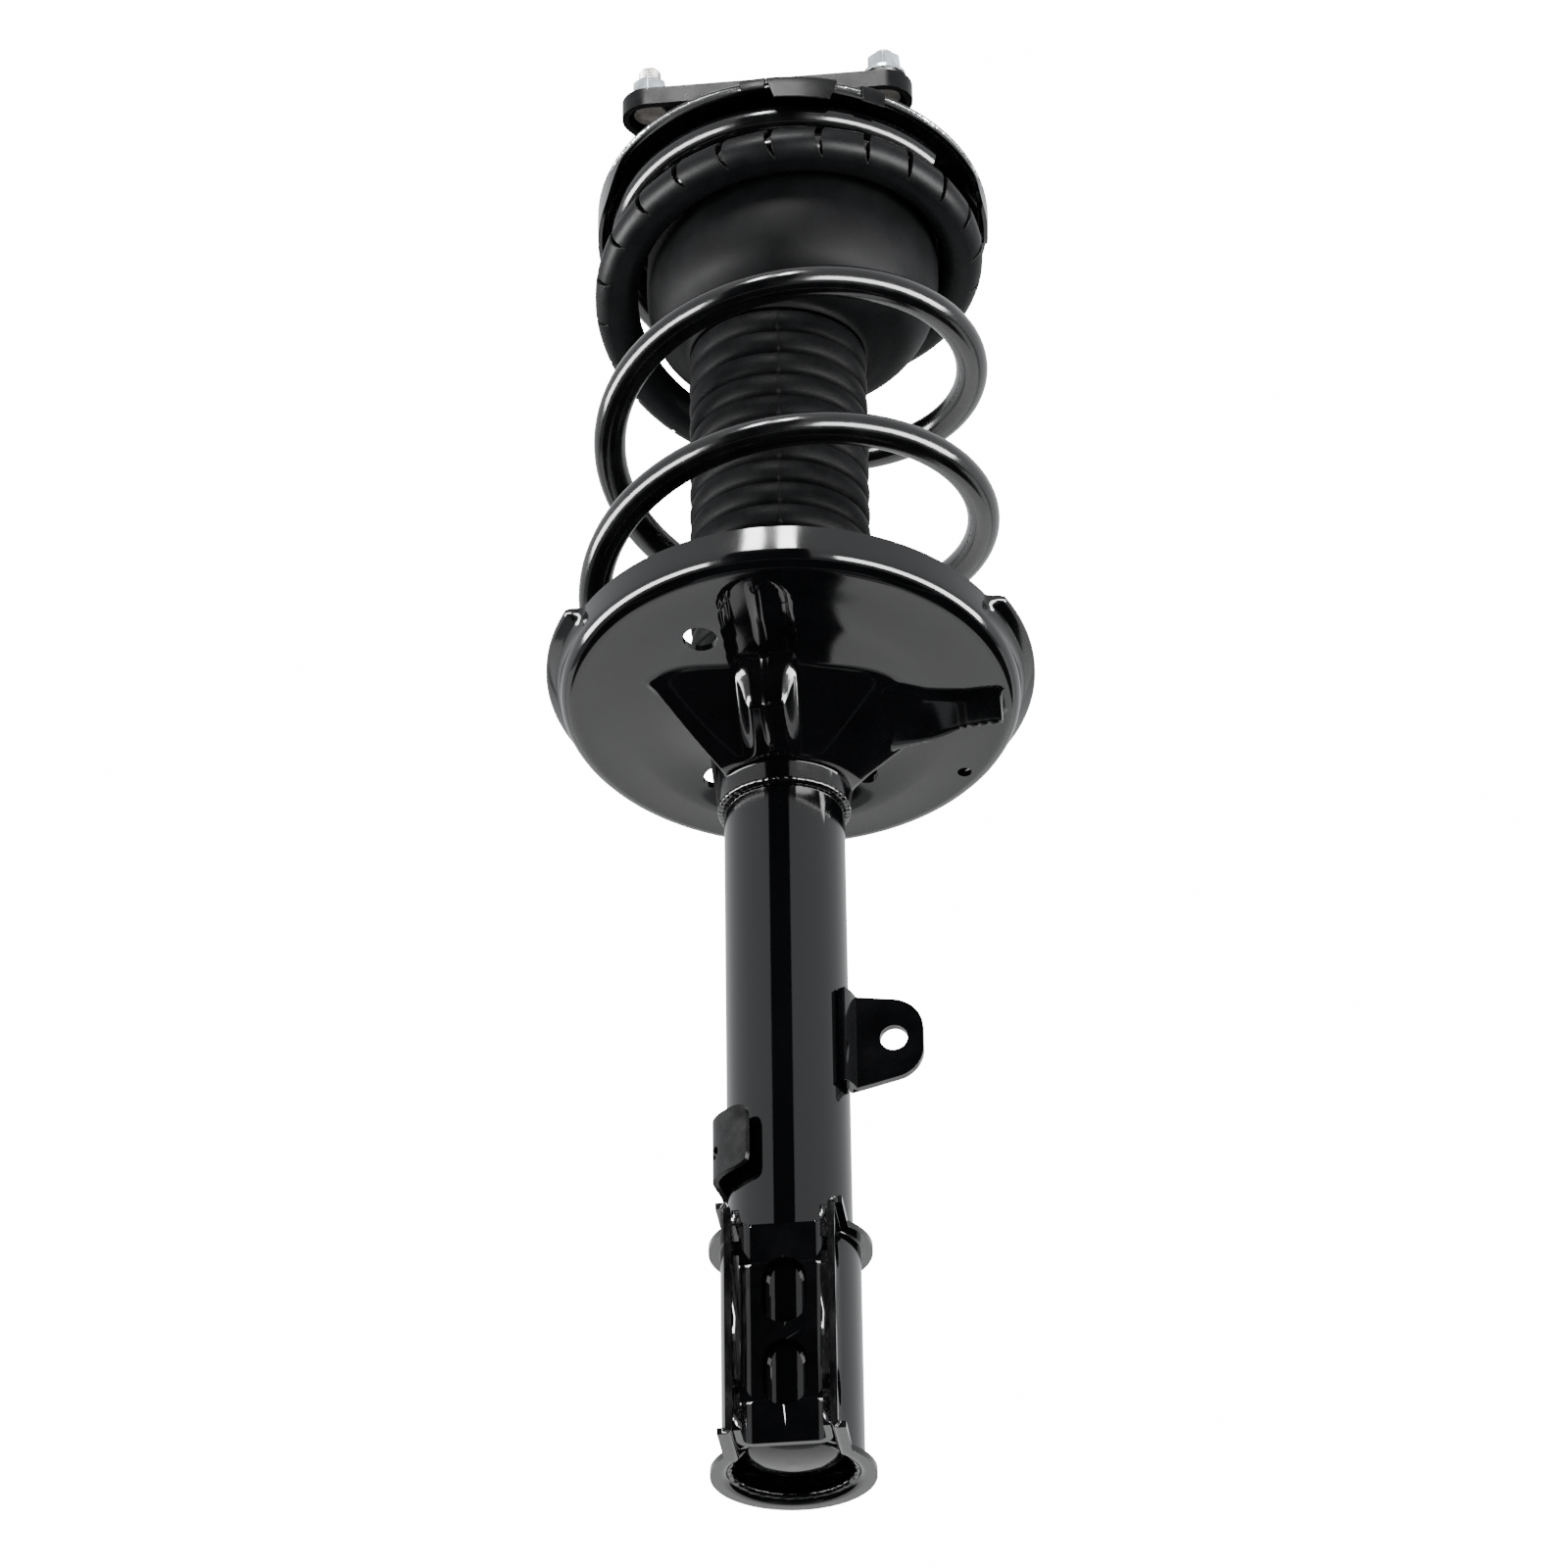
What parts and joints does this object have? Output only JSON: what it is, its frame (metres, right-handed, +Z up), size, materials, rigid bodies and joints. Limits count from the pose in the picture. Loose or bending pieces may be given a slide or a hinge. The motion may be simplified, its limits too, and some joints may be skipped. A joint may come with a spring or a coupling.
{
  "type": "suspension strut assembly",
  "caption": "Front suspension strut with a coil spring, triangular studded top mount on a bearing, ribbed dust boot, dished lower spring seat, hose bracket and knuckle bracket.",
  "frame": {"origin": "centre of the mount plate's top face, on the damper axis", "axes": "+Z up along the damper axis; -Y towards the side the knuckle bracket's ears point to; +X towards the hose bracket"},
  "size_m": [0.207, 0.2256, 0.677],
  "materials": {
    "black_paint": "gloss",
    "rubber": "satin",
    "boot_rubber": "matte",
    "zinc_plate": "satin",
    "rod_chrome": "polished",
    "bare_steel": "satin",
    "bump_foam": "matte",
    "piston_band_plastic": "satin"
  },
  "bodies": {
    "top_mount": {"mount_plate": "black_paint", "mount_lower_cup": "black_paint", "mount_rubber": "rubber", "bearing_outer_race": "bare_steel", "mount_stud_front_left": "zinc_plate", "mount_stud_front_right": "zinc_plate", "mount_stud_rear": "zinc_plate", "flange_nut_front_left": "zinc_plate", "flange_nut_front_right": "zinc_plate", "flange_nut_rear": "zinc_plate"},
    "bearing_cage": {"ball_cage": "bare_steel"},
    "upper_seat": {"bearing_inner_sleeve": "bare_steel", "piston_rod": "rod_chrome", "rod_washer": "zinc_plate", "rod_top_nut": "zinc_plate", "upper_spring_seat": "black_paint", "coil_spring": "black_paint", "upper_isolator": "rubber", "boot_dome": "rubber", "dust_boot": "boot_rubber", "bump_stop_cup": "bare_steel", "bump_stop": "bump_foam", "rebound_stop": "rubber", "piston": "bare_steel", "piston_band": "piston_band_plastic", "piston_valve_plate": "bare_steel", "piston_nut": "bare_steel"},
    "strut_body": {"strut_tube": "black_paint", "tube_bottom_cap": "black_paint", "tube_bump_cap": "bare_steel", "rod_oil_seal": "rubber", "rod_guide": "bare_steel", "pressure_cylinder": "bare_steel", "base_valve": "bare_steel", "lower_spring_seat": "black_paint", "lower_spring_pad": "rubber", "knuckle_bracket": "black_paint", "bracket_reinforcement": "black_paint", "hose_bracket": "black_paint", "sensor_bracket": "black_paint"}
  },
  "joints": [
    {"name": "steer_swivel", "type": "hinge", "parent": "top_mount", "child": "upper_seat", "pos_m": [0, 0, 0], "axis": [0, 0, 1], "range_deg": [-38, 38]},
    {"name": "cage_turn", "type": "hinge", "parent": "top_mount", "child": "bearing_cage", "pos_m": [0, 0, -0.0125], "axis": [0, 0, 1], "range_deg": [-19.5, 19.5]},
    {"name": "damper_travel", "type": "slide", "parent": "upper_seat", "child": "strut_body", "axis": [0, 0, 1], "range_m": [0, 0.12], "stiffness_N_per_m": 20000, "springref_m": -0.03, "deforming": ["coil_spring", "dust_boot"]}
  ],
  "couplings": [
    {"joint": "cage_turn", "follows": "steer_swivel", "ratio": 0.5}
  ]
}
